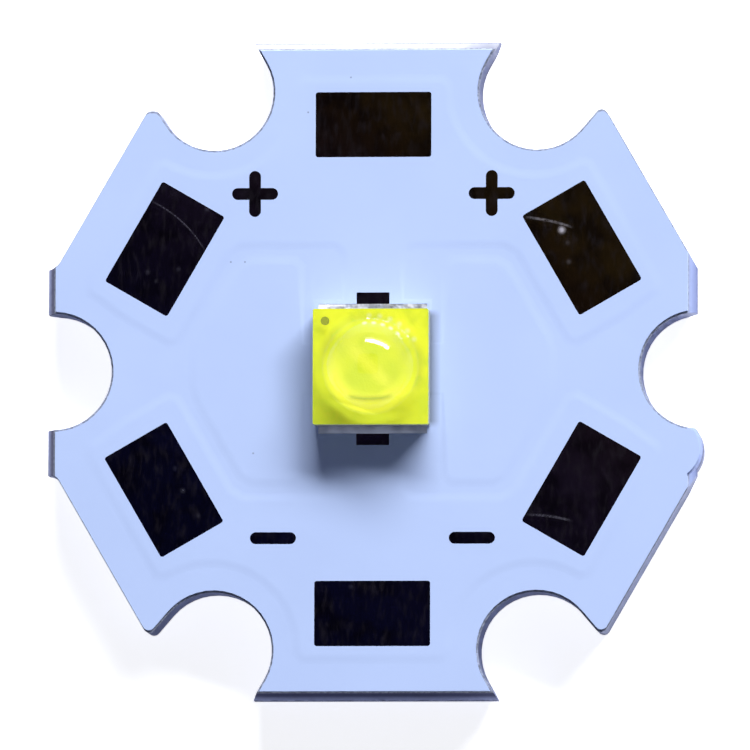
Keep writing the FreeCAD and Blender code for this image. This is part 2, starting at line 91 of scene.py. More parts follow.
def ease(share: float) -> float:
    """A ramp from 0 to 1 that starts and stops softly."""
    return share * share * (3 - 2 * share)


def feed(tree: bpy.types.NodeTree, socket: Output, value: Output | float | tuple) -> None:
    """Link an output to a socket, or set the socket's own value.

    Args:
        tree: The node tree that holds the socket.
        socket: The socket to feed.
        value: Another node's output or a plain value.
    """
    if isinstance(value, bpy.types.NodeSocket):
        tree.links.new(value, socket)
    else:
        socket.default_value = value


def add(
    tree: bpy.types.NodeTree,
    kind: str,
    settings: dict | None = None,
    inputs: dict | None = None,
    stops: tuple[tuple[float, str], ...] = (),
) -> bpy.types.Node:
    """Add one node with its settings, its socket values and its incoming links.

    Args:
        tree: The node tree that gets the node.
        kind: The node's type.
        settings: Properties of the node itself.
        inputs: A value or another node's output for each named or numbered socket.
        stops: Places and sRGB colours of a colour ramp.

    Returns:
        The new node.
    """
    node = tree.nodes.new(kind)
    for name, value in (settings or {}).items():
        setattr(node, name, value)
    for socket, value in (inputs or {}).items():
        feed(tree, node.inputs[socket], value)
    if stops:
        ramp = node.color_ramp.elements
        while len(ramp) < len(stops):
            ramp.new(1.0)
        for element, (place, colour) in zip(ramp, stops):
            element.position = place
            element.color = linear(colour)
    return node


class Recipe:
    """A material under construction, with the piece's own coordinates in millimetres."""

    def __init__(self, name: str) -> None:
        """Start a material with one shader.

        Args:
            name: The material's name.
        """
        self.material = bpy.data.materials.new(name)
        self.material.use_nodes = True
        self.tree = self.material.node_tree
        self.shader = self.tree.nodes["Principled BSDF"]
        self.output = self.tree.nodes["Material Output"]
        place = add(self.tree, "ShaderNodeTexCoord").outputs["Object"]
        scaled = add(self.tree, "ShaderNodeVectorMath", {"operation": "SCALE"}, {0: place, "Scale": 1 / MM})
        self.mm = scaled.outputs[0]

    def set(self, **sockets: Output | float | tuple) -> None:
        """Set or link the shader's sockets; an underscore stands for a space.

        Args:
            sockets: A value or another node's output for each socket.
        """
        for name, value in sockets.items():
            feed(self.tree, self.shader.inputs[name.replace("_", " ")], value)

    def axes(self, place: Output | None = None) -> tuple[Output, ...]:
        """The three coordinates by themselves.

        Args:
            place: Coordinates, or the piece's own.

        Returns:
            The outputs of X, Y and Z.
        """
        return tuple(add(self.tree, "ShaderNodeSeparateXYZ", None, {0: place or self.mm}).outputs)

    def at(self, centre_mm: Triple = (0, 0, 0), turn_deg: float = 0, stretch: Triple = (1, 1, 1)) -> Output:
        """The coordinates seen from another place.

        Args:
            centre_mm: The place that becomes the origin.
            turn_deg: How far the pattern's axes are turned about the vertical.
            stretch: How many times each axis of the pattern is squeezed.

        Returns:
            The output with the new coordinates.
        """
        moved = add(self.tree, "ShaderNodeVectorMath", {"operation": "SUBTRACT"}, {0: self.mm, 1: centre_mm})
        turn = (0, 0, -math.radians(turn_deg))
        inputs = {0: moved.outputs[0], "Rotation": turn, "Scale": stretch}
        return add(self.tree, "ShaderNodeMapping", None, inputs).outputs[0]

    def out_from(self, centre_mm: Pair) -> Output:
        """The level distance in millimetres from an upright line.

        Args:
            centre_mm: Where the line stands.

        Returns:
            The output with the distance.
        """
        flat = self.at((*centre_mm, 0), stretch=(1, 1, 0))
        return add(self.tree, "ShaderNodeVectorMath", {"operation": "LENGTH"}, {0: flat}).outputs["Value"]

    def grain(
        self, size_mm: float, place: Output | None = None, detail: float = 2.0, distortion: float = 0.0
    ) -> Output:
        """A soft noise whose lumps are about one size.

        Args:
            size_mm: The lumps' size.
            place: Coordinates, or the piece's own.
            detail: How many finer layers are added.
            distortion: How far the lumps are swirled.

        Returns:
            The output that runs from 0 to 1.
        """
        inputs = {
            "Vector": place or self.mm,
            "Scale": 1 / size_mm,
            "Detail": detail,
            "Distortion": distortion,
        }
        return add(self.tree, "ShaderNodeTexNoise", None, inputs).outputs["Fac"]

    def spread(
        self, value: Number, low: float, high: float, to_low: float = 0.0, to_high: float = 1.0
    ) -> Output:
        """Stretch part of a range over another and stop at its ends.

        Args:
            value: The output to stretch.
            low: Where the part starts.
            high: Where the part ends.
            to_low: What the start becomes.
            to_high: What the end becomes.

        Returns:
            The stretched output.
        """
        inputs = {"Value": value, 1: low, 2: high, 3: to_low, 4: to_high}
        return add(self.tree, "ShaderNodeMapRange", {"clamp": True}, inputs).outputs[0]

    def near_end(self, place: Output, end_mm: float, smear_mm: float, full_at: float) -> Output:
        """How fully a tint shows that starts a little before one end of the board.

        Args:
            place: The coordinate that runs towards the end.
            end_mm: Where the end is.
            smear_mm: How long before the end the tint starts.
            full_at: The share of that length after which it is full.

        Returns:
            The output that is 0 before the tint and 1 where it is full.
        """
        outwards = math.copysign(smear_mm, end_mm)
        start = end_mm - outwards
        return self.spread(place, start, start + outwards * full_at)

    def calc(self, operation: str, a: Number, b: Number = 0.0, c: Number = 0.0) -> Output:
        """The result of one sum.

        Args:
            operation: The kind of sum.
            a: The first number or output.
            b: The second one.
            c: The third one.

        Returns:
            The output with the result.
        """
        return add(self.tree, "ShaderNodeMath", {"operation": operation}, {0: a, 1: b, 2: c}).outputs[0]

    def times(self, a: Number, b: Number) -> Output:
        """One number or output times another."""
        return self.calc("MULTIPLY", a, b)

    def gap(self, value: Number, middle: Number) -> Output:
        """How far one number or output lies from another."""
        return self.calc("ABSOLUTE", self.calc("SUBTRACT", value, middle))

    def mix(self, share: Number, first: Tint, second: Tint) -> Output:
        """A colour between two colours.

        Args:
            share: How much of the second colour shows.
            first: An sRGB hex colour or an output.
            second: An sRGB hex colour or an output.

        Returns:
            The output with the mixed colour.
        """
        node = add(self.tree, "ShaderNodeMix", {"data_type": "RGBA"}, {"Factor": share})
        for end, name in ((first, "A"), (second, "B")):
            socket = [s for s in node.inputs if s.name == name and s.type == "RGBA"][0]
            feed(self.tree, socket, linear(end) if isinstance(end, str) else end)
        return [s for s in node.outputs if s.type == "RGBA"][0]

    def coat(self, under: Tint, share: Output, strength: float, colour: Tint) -> Output:
        """Lay a thin coat of colour over another.

        Args:
            under: The colour below.
            share: The output that is 1 where the coat lies.
            strength: How well the coat covers.
            colour: The coat's colour.

        Returns:
            The output with the coated colour.
        """
        return self.mix(self.times(share, strength), under, colour)

    def relief(self, height: Output, depth_mm: float, under: Output | None = None) -> Output:
        """Bump from a height that runs from 0 to 1.

        Args:
            height: The output with the height.
            depth_mm: How deep the full range is.
            under: The normal of a coarser relief below this one.

        Returns:
            The output with the bent normal.
        """
        inputs = {"Height": height, "Distance": depth_mm * MM, "Strength": 1.0}
        if under is not None:
            inputs["Normal"] = under
        return add(self.tree, "ShaderNodeBump", None, inputs).outputs[0]

    def let_through(self, share: Output, tint: Tint) -> None:
        """Let some rays pass straight through the finished shader.

        Args:
            share: The output that says which rays.
            tint: The sRGB hex colour or the output that they take on.
        """
        colour = linear(tint) if isinstance(tint, str) else tint
        clear = add(self.tree, "ShaderNodeBsdfTransparent", None, {0: colour})
        inputs = {0: share, 1: self.shader.outputs[0], 2: clear.outputs[0]}
        both = add(self.tree, "ShaderNodeMixShader", None, inputs)
        self.tree.links.new(both.outputs[0], self.output.inputs["Surface"])


@dataclass(frozen=True)
class Finish:
    """What a surface is made of: its slot in the record and the material that shows it."""

    slot: str

    def material(self) -> bpy.types.Material:
        """Build the material, which is named for its slot.

        Returns:
            The finished material.
        """
        recipe = Recipe(self.slot)
        self.mix_into(recipe)
        return recipe.material

    def mix_into(self, recipe: Recipe) -> None:
        """Set the recipe's nodes; each finish has its own way.

        Args:
            recipe: The material under construction.
        """
        raise NotImplementedError


@dataclass(frozen=True)
class RoutedAluminium(Finish):
    """Bare 5052 plate: milled walls with upright chatter marks, and a torn grey web along the snapped ends.

    The walls mirror the cool light softly, so they look lavender. The chamfers above the web carry painted
    shade, dark bluish grey on the left and below, and a painted highlight, nearly white, at the top. They are
    pale on the right, where mask has run over them. Painted shade darkens the notch wall beside the top end.
    """

    half_length_mm: float
    half_width_mm: float
    web_low_mm: float = 0.5
    web_high_mm: float = 1.11
    outermost: float = 0.9985
    chatter_mm: float = 0.12
    tear_mm: float = 0.16
    patch_mm: float = 2.2
    smear_mm: float = 0.3
    shade_rise_mm: float = 0.25
    highlight_rise_mm: float = 0.09
    pale_rise_mm: float = 0.3
    pale_drop_mm: float = 0.2
    painted_shade_at_mm: Pair = (3.55, 8.5)
    stain_and_shade_mm: float = 1.65

    def mix_into(self, recipe: Recipe) -> None:
        """Blend the milled metal, the torn web and the pale right end.

        Args:
            recipe: The material under construction.
        """
        x, y, z = recipe.axes()
        chatter = recipe.grain(self.chatter_mm, recipe.at(stretch=(1, 1, 0.06)), detail=1.0)
        tear = recipe.grain(self.tear_mm, detail=4.0, distortion=0.8)
        past_x = recipe.calc("DIVIDE", recipe.calc("ABSOLUTE", x), self.half_width_mm)
        past_y = recipe.calc("DIVIDE", recipe.calc("ABSOLUTE", y), self.half_length_mm)
        at_edge = recipe.calc("GREATER_THAN", recipe.calc("MAXIMUM", past_x, past_y), self.outermost)
        torn = recipe.times(at_edge, recipe.calc("GREATER_THAN", z, self.web_low_mm))
        web = recipe.mix(recipe.spread(tear, *STEEP_NOISE), "#545a78", "#9aa2c6")
        metal = recipe.mix(torn, self.milled(recipe, chatter), web)
        high = recipe.spread(z, self.web_high_mm - self.pale_drop_mm, self.web_high_mm)
        right = recipe.times(recipe.near_end(x, self.half_width_mm, self.smear_mm, full_at=0.5), high)
        pale = self.graded(recipe, z, self.pale_rise_mm, "#8f9cd2", "#b3c4f4")
        relief = recipe.relief(chatter, depth_mm=0.006)
        recipe.set(
            Base_Color=recipe.coat(metal, right, 0.85, pale),
            Metallic=1.0,
            Roughness=recipe.spread(recipe.calc("ADD", torn, chatter), 0.3, 1.3, to_low=0.3, to_high=0.62),
            Normal=recipe.relief(recipe.times(tear, torn), depth_mm=0.05, under=relief),
        )

    def milled(self, recipe: Recipe, chatter: Output) -> Output:
        """The milled metal's colour: painted shade at the left and lower ends, a painted highlight at the
        upper one.

        Args:
            recipe: The material under construction.
            chatter: The cutter's upright marks.

        Returns:
            The output with the colour.
        """
        x, y, z = recipe.axes()
        patch = recipe.grain(self.patch_mm)
        metal = recipe.mix(recipe.spread(chatter, *NOISE), "#939bc2", "#b8c0e4")
        metal = recipe.coat(metal, recipe.spread(patch, 0.35, 0.7), 0.5, "#8b94bc")
        # Painted shade: the chamfers at the left and lower ends turn dark bluish grey as they rise.
        left = recipe.near_end(x, -self.half_width_mm, self.smear_mm, full_at=0.4)
        bottom = recipe.near_end(y, -self.half_length_mm, self.smear_mm, full_at=0.4)
        painted_slate_shade = self.graded(recipe, z, self.shade_rise_mm, "#98a1cc", "#3e4264")
        metal = recipe.mix(recipe.calc("MAXIMUM", left, bottom), metal, painted_slate_shade)
        # Painted highlight: the chamfer at the upper end turns nearly white as it rises.
        top = recipe.near_end(y, self.half_length_mm, self.smear_mm, full_at=0.2)
        bright = self.graded(recipe, z, self.highlight_rise_mm, "#8a94c4", "#f6f8ff")
        bright = recipe.coat(bright, recipe.spread(patch, 0.5, 0.7), 0.35, "#c3cbea")
        metal = recipe.mix(top, metal, bright)
        # Painted shade on the notch wall beside the top end.
        stain_and_shade = recipe.spread(recipe.out_from(self.painted_shade_at_mm), self.stain_and_shade_mm, self.stain_and_shade_mm * 0.7)
        return recipe.coat(metal, stain_and_shade, 0.8, "#4f5a90")

    def graded(self, recipe: Recipe, height: Output, rise_mm: float, low: str, high: str) -> Output:
        """A chamfer's colour, which turns from one to another as it rises from the web."""
        return recipe.mix(recipe.spread(height, self.web_high_mm, self.web_high_mm + rise_mm), low, high)


@dataclass(frozen=True)
class FilledEpoxy(Finish):
    """Ceramic-filled epoxy film: a matt putty-coloured line, pale where mask has run over the right end."""

    half_width_mm: float
    fibre_mm: float = 0.09
    smear_mm: float = 0.3

    def mix_into(self, recipe: Recipe) -> None:
        """Speckle the film where the cutter laid it open.

        Args:
            recipe: The material under construction.
        """
        speck = recipe.grain(self.fibre_mm, detail=3.0)
        run_over = recipe.near_end(recipe.axes()[0], self.half_width_mm, self.smear_mm, full_at=0.5)
        putty = recipe.mix(recipe.spread(speck, *STEEP_NOISE), "#6c7285", "#a3abc0")
        recipe.set(
            Base_Color=recipe.mix(run_over, putty, "#b4c4f4"),
            Roughness=0.7,
            Normal=recipe.relief(speck, depth_mm=0.008),
        )


@dataclass(frozen=True)
class CopperFoil(Finish):
    """Etched one-ounce copper foil: a warm, slightly brushed metal, dull where the mask bonds to it.

    Real brush lines are finer and are drawn coarser, so that they show.
    """

    brush_mm: float = 0.08
    stain_and_shade_mm: float = 1.6

    def mix_into(self, recipe: Recipe) -> None:
        """Draw the brushing along X and the browned patches.

        Args:
            recipe: The material under construction.
        """
        brush = recipe.grain(self.brush_mm, recipe.at(stretch=(0.05, 1, 1)))
        stain_and_shade = recipe.grain(self.stain_and_shade_mm, detail=3.0)
        recipe.set(
            Base_Color=recipe.mix(recipe.spread(stain_and_shade, 0.4, 0.7), "#c98a5f", "#a8643f"),
            Metallic=1.0,
            Roughness=recipe.spread(brush, *NOISE, to_low=0.3, to_high=0.45),
            Normal=recipe.relief(brush, depth_mm=0.003),
        )


@dataclass(frozen=True)
class WhiteMask(Finish):
    """White liquid photoimageable mask: a smooth satin film, bluish in cool light, with a faint orange peel.

    A grey strip of painted shade lies beside the package's right side.
    """

    specks_mm: tuple[Pair, ...]
    package_right_mm: float
    package_middle_mm: float
    package_half_mm: float
    peel_mm: float = 0.35
    tint_mm: float = 3.0
    speck_mm: float = 0.04
    contact_shade_mm: float = 0.32
    contact_shade_past_mm: float = 0.05
    contact_shade_fade_mm: float = 0.2

    def mix_into(self, recipe: Recipe) -> None:
        """Tint the film, paint shade beside the package, dot it with dust and give it its peel.

        Args:
            recipe: The material under construction.
        """
        film = recipe.mix(recipe.spread(recipe.grain(self.tint_mm), *NOISE), "#bbcffa", "#bed2fd")
        # Painted shade beside the package's right side.
        film = recipe.coat(film, self.contact_shade(recipe), 0.8, "#6b7382")
        dust = 0.0
        for place in self.specks_mm:
            near = recipe.spread(recipe.out_from(place), self.speck_mm, self.speck_mm / 3)
            dust = recipe.calc("MAXIMUM", near, dust)
        peel = recipe.grain(self.peel_mm, detail=1.0)
        recipe.set(
            Base_Color=recipe.coat(film, dust, 0.6, "#5d6685"),
            Roughness=recipe.spread(peel, *NOISE, to_low=0.54, to_high=0.62),
            IOR=1.5,
            Specular_IOR_Level=0.3,
            Normal=recipe.relief(peel, depth_mm=0.0012),
        )

    def contact_shade(self, recipe: Recipe) -> Output:
        """Where the painted shade beside the package lies.

        Args:
            recipe: The material under construction.

        Returns:
            The output that is 1 at the package's wall and 0 off the strip.
        """
        x, y, _ = recipe.axes()
        edge = self.package_right_mm
        beside = recipe.spread(x, edge + self.contact_shade_mm, edge)
        beside = recipe.times(beside, recipe.calc("GREATER_THAN", x, edge - self.contact_shade_mm))
        end = self.package_half_mm + self.contact_shade_past_mm
        along = recipe.gap(y, self.package_middle_mm)
        return recipe.times(beside, recipe.spread(along, end, end - self.contact_shade_fade_mm))


@dataclass(frozen=True)
class HighlightStreak:
    """A pale streak of painted highlight along an arc, drawn from one place to another round a centre."""

    centre_mm: Pair
    radius_mm: float
    middle_deg: float
    half_deg: float
    width_mm: float
    strength: float


@dataclass(frozen=True)
class Spot:
    """A small pale pit or dust grain."""

    centre_mm: Pair
    size_mm: float
    strength: float


# Pale streaks of painted highlight on the pads.
PAD_HIGHLIGHT_STREAKS = (
    HighlightStreak((-8.34, 1.74), 3.8, middle_deg=48, half_deg=19, width_mm=0.07, strength=0.22),
    HighlightStreak((4.71, -9.5), 5.1, middle_deg=82, half_deg=8.5, width_mm=0.11, strength=0.24),
    HighlightStreak((4.2, -1.1), 5.75, middle_deg=78, half_deg=8, width_mm=0.12, strength=0.34),
)
PAD_SPOTS = (
    Spot((5.79, 4.24), 0.17, 0.6),
    Spot((5.96, 3.85), 0.1, 0.14),
    Spot((6.0, 3.27), 0.11, 0.2),
    Spot((-5.71, -3.65), 0.11, 0.16),
    Spot((-5.23, -4.41), 0.1, 0.1),
    Spot((-5.95, -2.97), 0.1, 0.09),
    Spot((-6.8, 3.0), 0.11, 0.12),
    Spot((-5.86, 3.09), 0.1, 0.12),
    Spot((-6.54, 2.73), 0.09, 0.1),
    Spot((-5.0, 4.91), 0.11, 0.16),
    Spot((-0.59, -6.58), 0.1, 0.1),
)
# The tin's dark tint from the board's lower left to its upper right, a painted reflection of dark
# surroundings.
TIN_REFLECTION_SWEEP = (
    (0.0, "#212150"),
    (0.1, "#29295c"),
    (0.42, "#342b4c"),
    (0.58, "#4a3d5c"),
    (0.9, "#4c3828"),
    (1.0, "#644f2e"),
)


@dataclass(frozen=True)
class LevelledTin(Finish):
    """Hot-air levelled tin: a smooth mirror whose dark tint is a painted reflection, with faint flow lines,
    pin specks and pale streaks of painted highlight.
    """

    highlight_streaks: tuple[HighlightStreak, ...]
    spots: tuple[Spot, ...]
    flow_mm: float = 0.16
    cloud_mm: float = 0.7
    fray_mm: float = 0.07
    reflection_sweep_mm: float = 9.0
    reflection_sweep_lean: float = 0.8

    def mix_into(self, recipe: Recipe) -> None:
        """Paint the reflection's dark tint across the board, streak it along Y, and paint pale highlight
        streaks on it.

        Args:
            recipe: The material under construction.
        """
        x, y, _ = recipe.axes()
        towards = recipe.calc("MULTIPLY_ADD", x, self.reflection_sweep_lean, y)
        across = recipe.spread(towards, -self.reflection_sweep_mm, self.reflection_sweep_mm)
        flow = recipe.grain(self.flow_mm, recipe.at(stretch=(1, 0.35, 1)), detail=3.0, distortion=0.3)
        cloud = recipe.grain(self.cloud_mm, detail=4.0, distortion=0.3)
        # Painted reflection: the dark tint changes across the board.
        metal = add(recipe.tree, "ShaderNodeValToRGB", None, {0: across}, TIN_REFLECTION_SWEEP).outputs[0]
        metal = recipe.coat(metal, recipe.spread(cloud, 0.4, 0.65), 0.75, "#17121c")
        metal = recipe.coat(metal, recipe.spread(flow, 0.5, 0.75), 0.35, "#7a7482")
        # Painted highlight streaks, and then pale pits and dust specks.
        glints_and_pits = 0.0
        for streak in self.highlight_streaks:
            glints_and_pits = recipe.calc("MAXIMUM", glints_and_pits, self.draw(recipe, streak))
        for spot in self.spots:
            out = recipe.out_from(spot.centre_mm)
            near = recipe.spread(out, spot.size_mm, spot.size_mm / 4, to_high=spot.strength)
            glints_and_pits = recipe.calc("MAXIMUM", glints_and_pits, near)
        gloss = recipe.spread(cloud, *NOISE, to_low=0.15, to_high=0.22)
        recipe.set(
            Base_Color=recipe.mix(glints_and_pits, metal, "#d7d9ee"),
            Metallic=1.0,
            Roughness=recipe.calc("MULTIPLY_ADD", glints_and_pits, 0.5, gloss),
            Normal=recipe.relief(flow, depth_mm=0.0015),
        )

    def draw(self, recipe: Recipe, streak: HighlightStreak) -> Output:
        """Where one painted highlight streak lies.

        Args:
            recipe: The material under construction.
            streak: The streak's arc.

        Returns:
            The output that is the streak's strength on it and 0 off it.
        """
        x, y, _ = recipe.axes(recipe.at((*streak.centre_mm, 0), streak.middle_deg))
        off = recipe.gap(recipe.out_from(streak.centre_mm), streak.radius_mm)
        line = recipe.spread(off, streak.width_mm / 2, streak.width_mm / 6)
        turn = recipe.calc("ABSOLUTE", recipe.calc("ARCTAN2", y, x))
        half = math.radians(streak.half_deg)
        along = recipe.spread(turn, half, half * 0.7)
        frayed = recipe.spread(recipe.grain(self.fray_mm), 0.25, 0.6, to_low=0.35, to_high=1.0)
        return recipe.times(recipe.times(recipe.times(line, along), frayed), streak.strength)


@dataclass(frozen=True)
class SolderAlloy(Finish):
    """Reflowed tin-silver-copper solder: a bright lumpy fillet that breaks its highlights up."""

    dark: str
    light: str
    lump_depth_mm: float
    lump_mm: float = 0.5
    frost_mm: float = 0.06

    def mix_into(self, recipe: Recipe) -> None:
        """Lump and frost the metal.

        Args:
            recipe: The material under construction.
        """
        lump = recipe.grain(self.lump_mm, detail=1.0, distortion=0.3)
        frost = recipe.grain(self.frost_mm, detail=1.0)
        relief = recipe.relief(lump, self.lump_depth_mm)
        recipe.set(
            Base_Color=recipe.mix(recipe.spread(lump, *STEEP_NOISE), self.dark, self.light),
            Metallic=1.0,
            Roughness=recipe.spread(frost, *NOISE, to_low=0.28, to_high=0.42),
            Normal=recipe.relief(frost, depth_mm=0.002, under=relief),
        )


@dataclass(frozen=True)
class FineMetal(Finish):
    """Electroplated metal: fine-grained and slightly hazy.

    Real plating grain is a few micrometres wide and is drawn coarser, so that it shows.
    """

    dark: str
    light: str
    smoothest: float
    roughest: float
    grain_mm: float = 0.05

    def mix_into(self, recipe: Recipe) -> None:
        """Haze the plating.

        Args:
            recipe: The material under construction.
        """
        grain = recipe.grain(self.grain_mm)
        recipe.set(
            Base_Color=recipe.mix(grain, self.dark, self.light),
            Metallic=1.0,
            Roughness=recipe.spread(grain, *NOISE, to_low=self.smoothest, to_high=self.roughest),
            Normal=recipe.relief(grain, depth_mm=0.001),
        )


@dataclass(frozen=True)
class FiredAlumina(Finish):
    """Fired ceramic: an opaque grey-white body with a fine dry grain and clean snapped sides. Its colour is
    drawn as a darker grey, painted shade for the walls that stand in the package's shade.

    The grain is drawn a little coarser than the real one, so that it shows.
    """

    grain_mm: float = 0.04
    snap_mm: float = 0.1

    def mix_into(self, recipe: Recipe) -> None:
        """Grain the ceramic and streak its snapped walls.

        Args:
            recipe: The material under construction.
        """
        grain = recipe.grain(self.grain_mm)
        snap = recipe.grain(self.snap_mm, recipe.at(stretch=(1, 1, 0.15)))
        recipe.set(
            # A darker grey than the real body: painted shade.
            Base_Color=recipe.mix(recipe.spread(snap, *NOISE), "#8b9093", "#a2a7a9"),
            Roughness=0.55,
            IOR=1.76,
            Normal=recipe.relief(grain, depth_mm=0.002),
        )


@dataclass(frozen=True)
class SawnCrystal(Finish):
    """A crystal chip: smooth faces, and walls with a faint sawn texture, drawn coarser than the real one."""

    dark: str
    light: str
    metallic: float
    roughness: float
    ior: float
    saw_mm: float = 0.03

    def mix_into(self, recipe: Recipe) -> None:
        """Streak the sawn walls.

        Args:
            recipe: The material under construction.
        """
        saw = recipe.grain(self.saw_mm, recipe.at(stretch=(1, 1, 0.2)), detail=1.0)
        recipe.set(
            Base_Color=recipe.mix(saw, self.dark, self.light),
            Metallic=self.metallic,
            Roughness=self.roughness,
            IOR=self.ior,
            Normal=recipe.relief(saw, depth_mm=0.001),
        )


@dataclass(frozen=True)
class GlintArc:
    """A row of small pale specks along an arc, painted glints; its angles run from +X towards +Y."""

    radius_mm: float
    first_deg: float
    last_deg: float
    pitch_deg: float
    size_mm: float
    strength: float


# Painted glints round the dome's foot.
DOME_GLINTS = (
    GlintArc(1.1, first_deg=50, last_deg=98, pitch_deg=12, size_mm=0.09, strength=0.8),
    GlintArc(1.55, first_deg=32, last_deg=92, pitch_deg=12, size_mm=0.11, strength=0.28),
)


@dataclass(frozen=True)
class PhosphorFilm(Finish):
    """Garnet phosphor in silicone: a lemon yellow powder film whose glow is partly painted light. A painted
    arc of light lies where the dome would gather light, and painted shade lies on the dome's near side, in a
    ring round its foot, towards the lower left and along the die's lower edge. Rows of small pale specks are
    painted glints.

    The reaches are cosines of the angle from the glow's middle, first where an arc starts and then where it
    is full. Real powder grains are a third as wide and are drawn coarser, so that they show.
    """

    centre_mm: Pair
    glints: tuple[GlintArc, ...]
    powder_mm: float = 0.05
    patch_mm: float = 0.45
    least_mm: float = 0.01
    glow_to_deg: float = 250.0
    glow_radius_mm: float = 1.02
    glow_width_mm: float = 0.42
    glow_reach: Pair = (-0.05, 0.55)
    near_side_shade_reach: Pair = (0.15, -0.6)
    foot_radius_mm: float = 1.46
    foot_width_mm: float = 0.22
    foot_shade_reach: Pair = (0.5, 0.0)
    lower_left_shade_span_mm: Pair = (0.9, -2.7)
    lower_left_shade_lean: float = 0.55
    middle_mm: Pair = (0.85, 0.45)
    band_mm: Pair = (0.3, 0.05)
    die_edge_mm: float = 0.79
    die_half_mm: float = 0.64
    die_bend: float = 0.2
    die_edge_shadow_mm: Pair = (0.11, 0.02)
    light: float = 0.42
    glow_light: float = 0.12

    def mix_into(self, recipe: Recipe) -> None:
        """Grain the powder, paint light on the arc under the dome's far side and paint shade on the near
        side.

        Args:
            recipe: The material under construction.
        """
        powder = recipe.grain(self.powder_mm)
        out = recipe.out_from(self.centre_mm)
        towards_glow = recipe.axes(recipe.at((*self.centre_mm, 0), self.glow_to_deg))[0]
        # The smallest distance keeps the centre from dividing by nothing.
        facing = recipe.calc("DIVIDE", towards_glow, recipe.calc("MAXIMUM", out, self.least_mm))
        ring = self.ring(recipe, out, self.glow_radius_mm, self.glow_width_mm)
        glow = recipe.times(recipe.spread(ring, 0.0, 0.6), recipe.spread(facing, *self.glow_reach))
        near_side_shade = recipe.times(ring, recipe.spread(facing, *self.near_side_shade_reach))
        foot = self.ring(recipe, out, self.foot_radius_mm, self.foot_width_mm)
        foot = recipe.times(foot, recipe.spread(facing, *self.foot_shade_reach))
        x, y, _ = recipe.axes(recipe.at((*self.centre_mm, 0)))
        lower_left_shade = recipe.spread(recipe.calc("MULTIPLY_ADD", x, self.lower_left_shade_lean, y), *self.lower_left_shade_span_mm)
        middle = recipe.spread(out, *self.middle_mm)
        diagonal = recipe.calc("ABSOLUTE", recipe.calc("ADD", x, y))
        band = recipe.times(recipe.spread(diagonal, *self.band_mm), middle)
        # Where each coat lies, how well it covers, and its colour.
        coats = (
            (recipe.spread(recipe.grain(self.patch_mm, distortion=0.5), 0.45, 0.65), 0.6, "#d0e230"),
            # Painted shade on the dome's near side.
            (near_side_shade, 0.5, "#c2cf3e"),
            # Painted shade in a ring round the dome's foot.
            (foot, 0.4, "#a2aa48"),
            (middle, 0.4, "#d6ea30"),
            (band, 0.9, "#ffff48"),
            # Painted light in the arc where the dome would gather light.
            (glow, 1.0, "#ffff40"),
            # Painted shadow along the die's lower edge.
            (self.die_edge_shadow(recipe, x, y), 0.7, "#a0ac2c"),
            (recipe.spread(powder, 0.35, 0.7), 0.15, "#ffff60"),
        )
        # Painted shade: the film darkens towards its lower left.
        film = recipe.mix(lower_left_shade, "#fcff30", "#d6e52e")
        for share, strength, colour in coats:
            film = recipe.coat(film, share, strength, colour)
        # Painted glints along arcs round the dome.
        for glints in self.glints:
            film = recipe.coat(film, self.draw(recipe, glints, x, y, out), glints.strength, "#fffff0")
        # The film's glow is partly painted light, and the painted arc of light glows more.
        recipe.set(
            Base_Color=film,
            Roughness=0.8,
            Emission_Color=film,
            Emission_Strength=recipe.calc("MULTIPLY_ADD", glow, self.glow_light, self.light),
            Normal=recipe.relief(powder, depth_mm=0.004),
        )

    def ring(self, recipe: Recipe, out: Output, radius_mm: float, width_mm: float) -> Output:
        """A soft ring round the dome's centre: 1 at its radius and 0 a width away from it."""
        return recipe.spread(recipe.gap(out, radius_mm), width_mm, 0.0)

    def die_edge_shadow(self, recipe: Recipe, x: Output, y: Output) -> Output:
        """The faint line of painted shadow where the film runs down from the die's lower edge.

        Args:
            recipe: The material under construction.
            x: The distance to the right of the dome's centre.
            y: The distance above it.

        Returns:
            The output that is 1 on the line and 0 off it.
        """
        bend = recipe.times(recipe.times(x, x), self.die_bend)
        off = recipe.gap(recipe.calc("ADD", y, self.die_edge_mm), bend)
        ends = recipe.spread(recipe.calc("ABSOLUTE", x), self.die_half_mm, self.die_half_mm * 0.7)
        return recipe.times(recipe.spread(off, *self.die_edge_shadow_mm), ends)

    def draw(self, recipe: Recipe, glints: GlintArc, x: Output, y: Output, out: Output) -> Output:
        """Where one row of painted glints lies.

        Args:
            recipe: The material under construction.
            glints: The row.
            x: The distance to the right of the dome's centre.
            y: The distance above it.
            out: The distance from it.

        Returns:
            The output that is 1 in the middle of a dot and 0 off it.
        """
        turn = recipe.calc("ARCTAN2", y, x)
        first, last, pitch = (math.radians(a) for a in (glints.first_deg, glints.last_deg, glints.pitch_deg))
        cell = recipe.calc("FRACT", recipe.calc("MULTIPLY_ADD", turn, 1 / pitch, 0.5 - first / pitch))
        across = recipe.times(recipe.calc("SUBTRACT", cell, 0.5), pitch * glints.radius_mm)
        away = recipe.calc("SUBTRACT", out, glints.radius_mm)
        squared = recipe.calc("MULTIPLY_ADD", across, across, recipe.times(away, away))
        spot = recipe.spread(recipe.calc("SQRT", squared), glints.size_mm, glints.size_mm * 0.1)
        within = recipe.gap(turn, (first + last) / 2)
        return recipe.times(spot, recipe.calc("LESS_THAN", within, (last - first + pitch) / 2))


